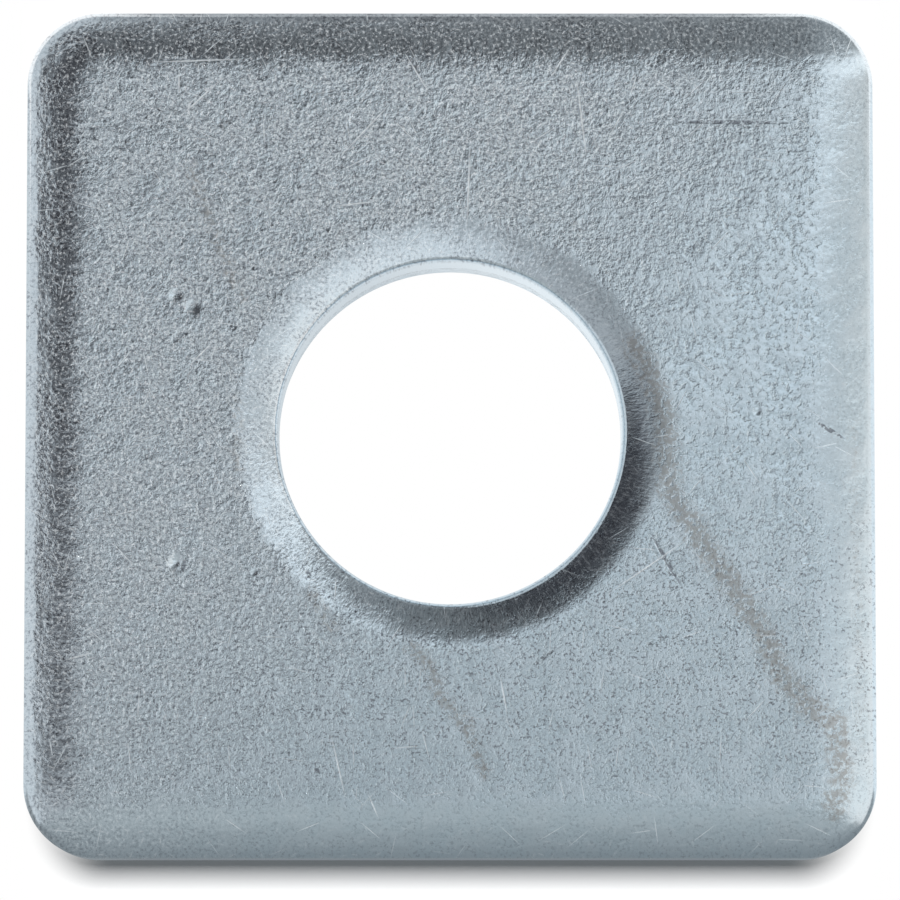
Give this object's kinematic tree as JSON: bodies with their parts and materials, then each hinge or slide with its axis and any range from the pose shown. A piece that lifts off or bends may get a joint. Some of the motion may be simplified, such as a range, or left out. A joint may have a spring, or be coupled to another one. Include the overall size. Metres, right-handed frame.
{
  "type": "square plate washer",
  "caption": "Thick square plate washer with rounded corners, rolled face edges and a round bolt hole, stamped from steel plate and zinc plated, spreading a bolt's load.",
  "frame": {"origin": "centre of the back face, on the hole's axis, where the washer lies on a flat surface", "axes": "+Z along the hole's axis from the back face to the rolled face; +X and +Y along the plate's sides"},
  "size_m": [0.0412, 0.0412, 0.0063],
  "materials": {
    "zinc_plated_steel": "bluish bright zinc plating over a tumbled, finely pebbled stamped face, with scratches, small dents and brownish handling stains"
  },
  "bodies": {
    "root": {"plate_washer": "zinc_plated_steel"}
  },
  "joints": []
}
